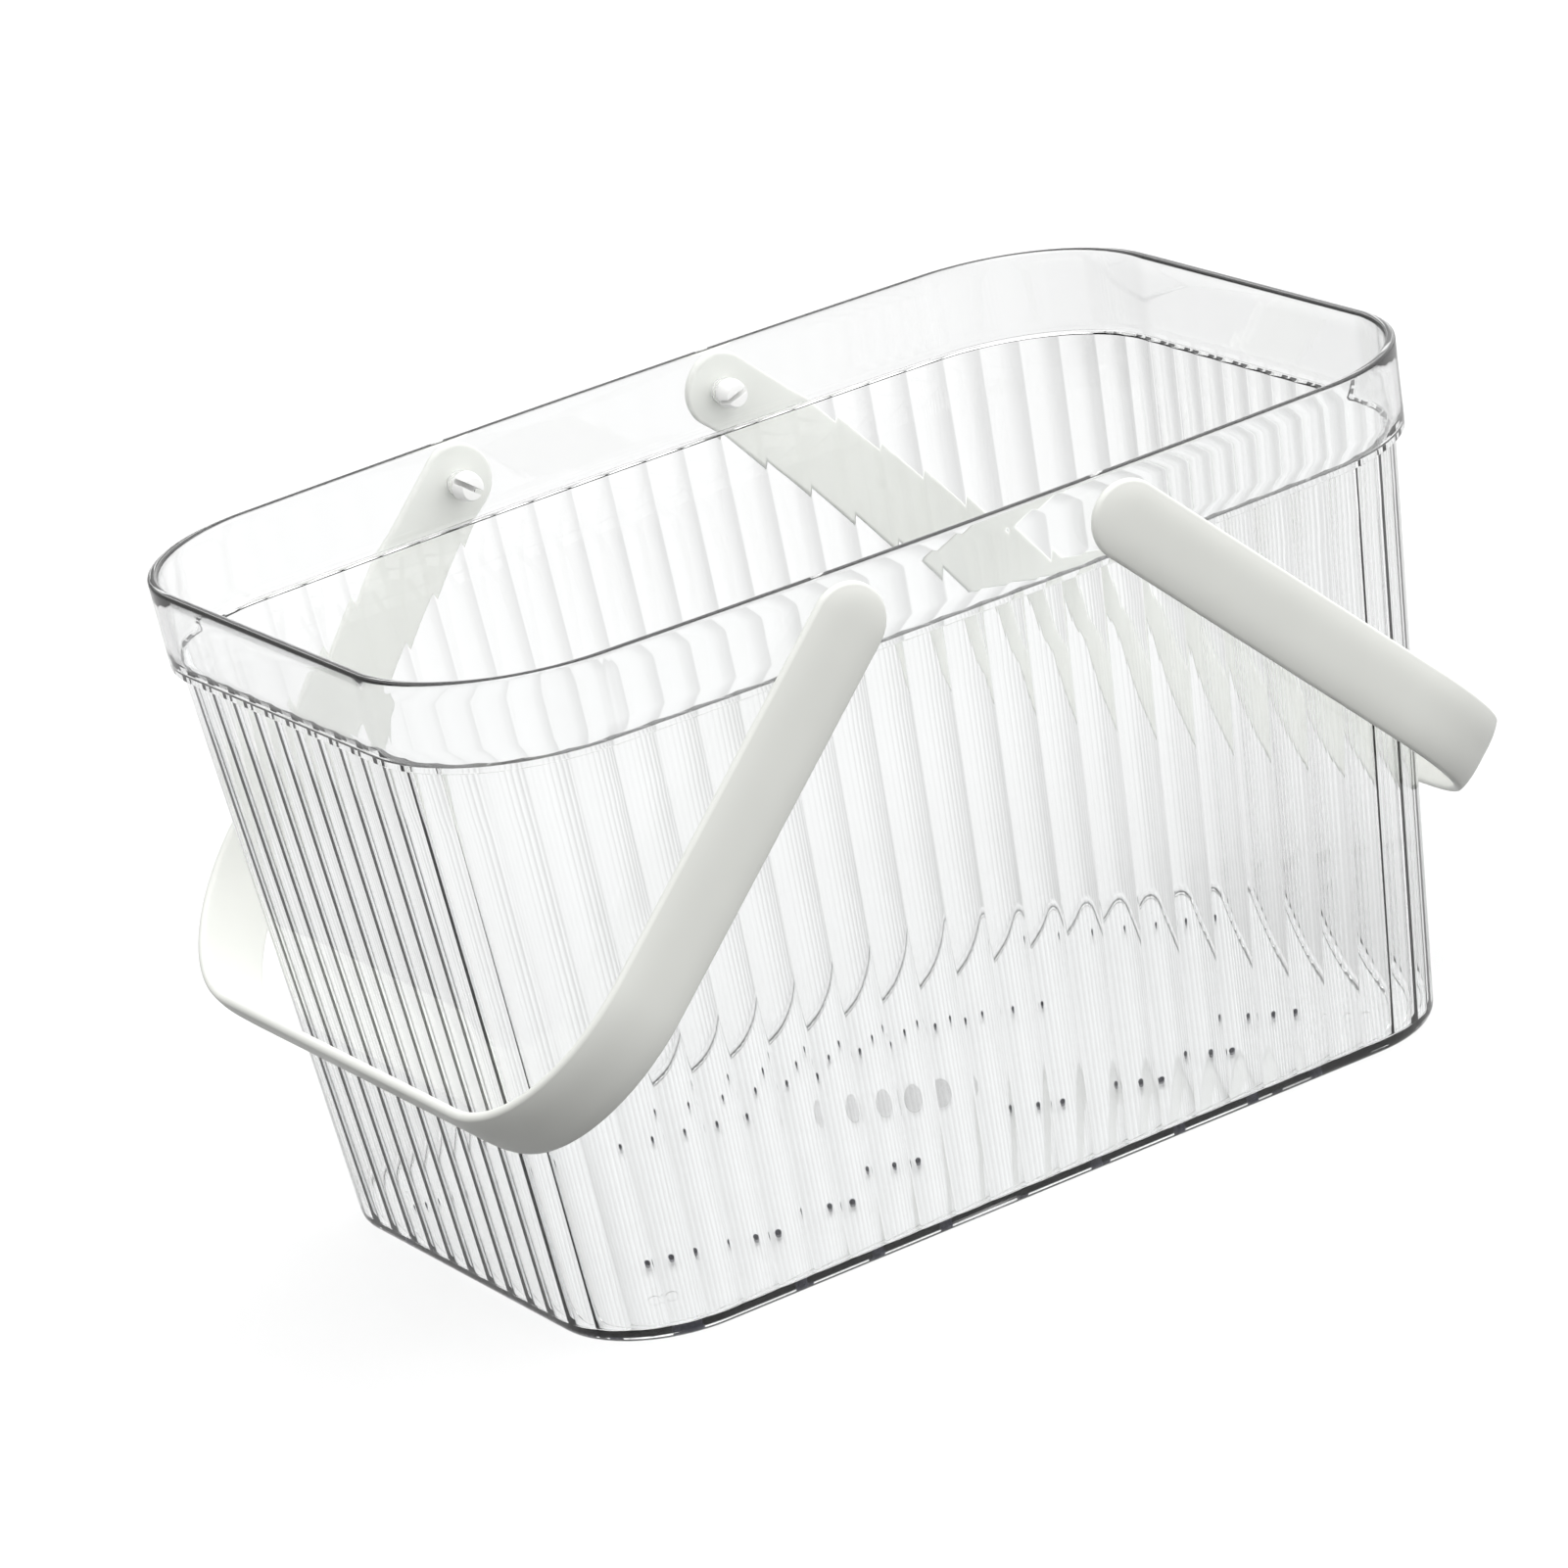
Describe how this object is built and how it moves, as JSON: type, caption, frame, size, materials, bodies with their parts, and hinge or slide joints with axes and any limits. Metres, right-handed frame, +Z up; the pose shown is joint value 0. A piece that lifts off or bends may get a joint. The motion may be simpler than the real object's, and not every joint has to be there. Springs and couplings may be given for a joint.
{
  "type": "shower caddy",
  "caption": "Portable shower caddy: clear fluted plastic basket with a drained floor and two strap handles that swing up to meet over the middle.",
  "frame": {"origin": "centre of the footprint, on the surface that the basket stands on", "axes": "+X along the basket's length, +Y across it towards the side with the single arc of drain holes, +Z up"},
  "size_m": [0.2882, 0.1942, 0.1715],
  "materials": {
    "clear_plastic": "clear, polished",
    "strap_plastic": "satin",
    "pin_plastic": "satin"
  },
  "bodies": {
    "basket": {"basket": "clear_plastic"},
    "handle_left": {"handle_left": "strap_plastic", "snap_pin_left_front": "pin_plastic", "snap_pin_left_rear": "pin_plastic"},
    "handle_right": {"handle_right": "strap_plastic", "snap_pin_right_front": "pin_plastic", "snap_pin_right_rear": "pin_plastic"}
  },
  "joints": [
    {"name": "handle_left_pivot", "type": "hinge", "parent": "basket", "child": "handle_left", "pos_m": [-0.0383, 0, 0.1593], "axis": [0, 1, 0], "range_deg": [0, 146.5]},
    {"name": "handle_right_pivot", "type": "hinge", "parent": "basket", "child": "handle_right", "pos_m": [0.0383, 0, 0.1593], "axis": [0, -1, 0], "range_deg": [0, 146.5]}
  ]
}
